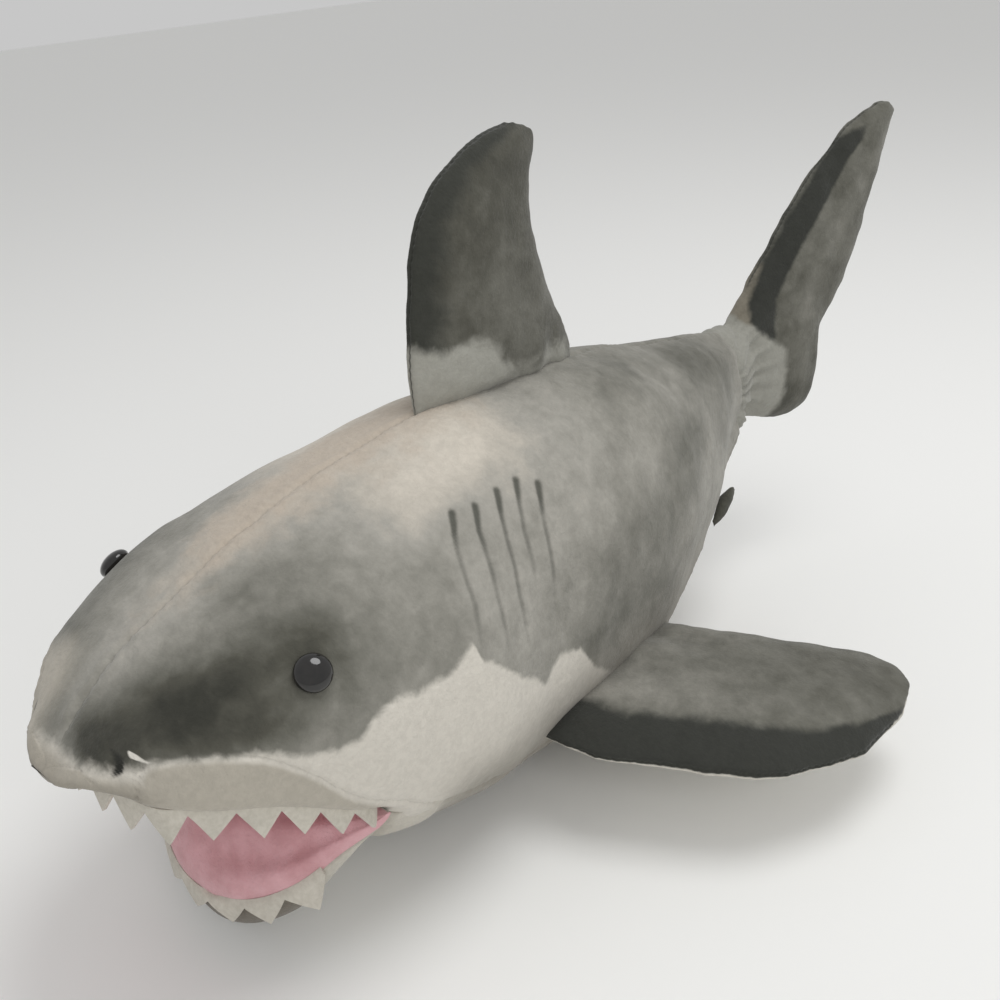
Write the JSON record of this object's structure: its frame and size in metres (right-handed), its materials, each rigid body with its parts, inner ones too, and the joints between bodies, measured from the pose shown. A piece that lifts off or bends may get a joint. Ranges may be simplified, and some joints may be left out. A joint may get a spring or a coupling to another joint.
{
  "type": "plush shark toy",
  "caption": "Stuffed plush shark with an open soft mouth, felt teeth, domed plastic eyes, and soft dorsal, side and tail fins that flex and spring back.",
  "frame": {"origin": "centre of the bounding box in plan, on the surface that the belly rests on", "axes": "+Y from the head to the tail, +Z from the belly to the back, +X to the shark's left"},
  "size_m": [0.3882, 0.6037, 0.3196],
  "materials": {
    "printed_plush": "short-pile printed plush",
    "belly_plush": "short-pile plush",
    "fin_plush": "short-pile printed plush",
    "mouth_fleece": "brushed fleece",
    "tooth_felt": "pressed felt",
    "eye_plastic": "moulded and polished",
    "washer_plastic": "as moulded",
    "stuffing": "loose polyester fibre"
  },
  "bodies": {
    "body": {"body_stuffing": "stuffing", "flank_panel_left": "printed_plush", "flank_panel_right": "printed_plush", "belly_panel": "belly_plush", "upper_lip_left": "belly_plush", "upper_lip_right": "belly_plush", "palate_lining": "mouth_fleece", "upper_teeth": "tooth_felt", "eye_left": "eye_plastic", "eye_right": "eye_plastic", "eye_washer_left": "washer_plastic", "eye_washer_right": "washer_plastic", "pelvic_top_left": "fin_plush", "pelvic_under_left": "belly_plush", "pelvic_top_right": "fin_plush", "pelvic_under_right": "belly_plush"},
    "jaw": {"chin_panel": "belly_plush", "jaw_lining": "mouth_fleece", "jaw_stuffing": "stuffing", "lower_teeth": "tooth_felt"},
    "dorsal_fin": {"dorsal_panel_left": "fin_plush", "dorsal_panel_right": "fin_plush", "dorsal_stuffing": "stuffing"},
    "left_pectoral_fin": {"pectoral_top_left": "fin_plush", "pectoral_under_left": "belly_plush", "pectoral_stuffing_left": "stuffing"},
    "right_pectoral_fin": {"pectoral_top_right": "fin_plush", "pectoral_under_right": "belly_plush", "pectoral_stuffing_right": "stuffing"},
    "tail": {"tail_panel_left": "fin_plush", "tail_panel_right": "fin_plush", "tail_stuffing": "stuffing"}
  },
  "joints": [
    {"name": "jaw_hinge", "type": "hinge", "parent": "body", "child": "jaw", "pos_m": [0, -0.1975, 0.075], "axis": [1, 0, 0], "range_deg": [-28, 2], "stiffness_Nm_per_rad": 0.6},
    {"name": "tail_bend", "type": "hinge", "parent": "body", "child": "tail", "pos_m": [0, 0.1878, 0.1333], "axis": [0, 0, 1], "range_deg": [-12, 50], "stiffness_Nm_per_rad": 0.8},
    {"name": "dorsal_flop", "type": "hinge", "parent": "body", "child": "dorsal_fin", "pos_m": [0, -0.0982, 0.2056], "axis": [0, 0.9983, -0.0583], "range_deg": [-25, 25], "stiffness_Nm_per_rad": 0.6},
    {"name": "left_pectoral_flap", "type": "hinge", "parent": "body", "child": "left_pectoral_fin", "pos_m": [0.0776, -0.0992, 0.05], "axis": [0.0812, -0.9967, 0], "range_deg": [-15, 40], "stiffness_Nm_per_rad": 1.2},
    {"name": "right_pectoral_flap", "type": "hinge", "parent": "body", "child": "right_pectoral_fin", "pos_m": [-0.0776, -0.0992, 0.05], "axis": [0.0812, 0.9967, 0], "range_deg": [-15, 40], "stiffness_Nm_per_rad": 1.2}
  ]
}
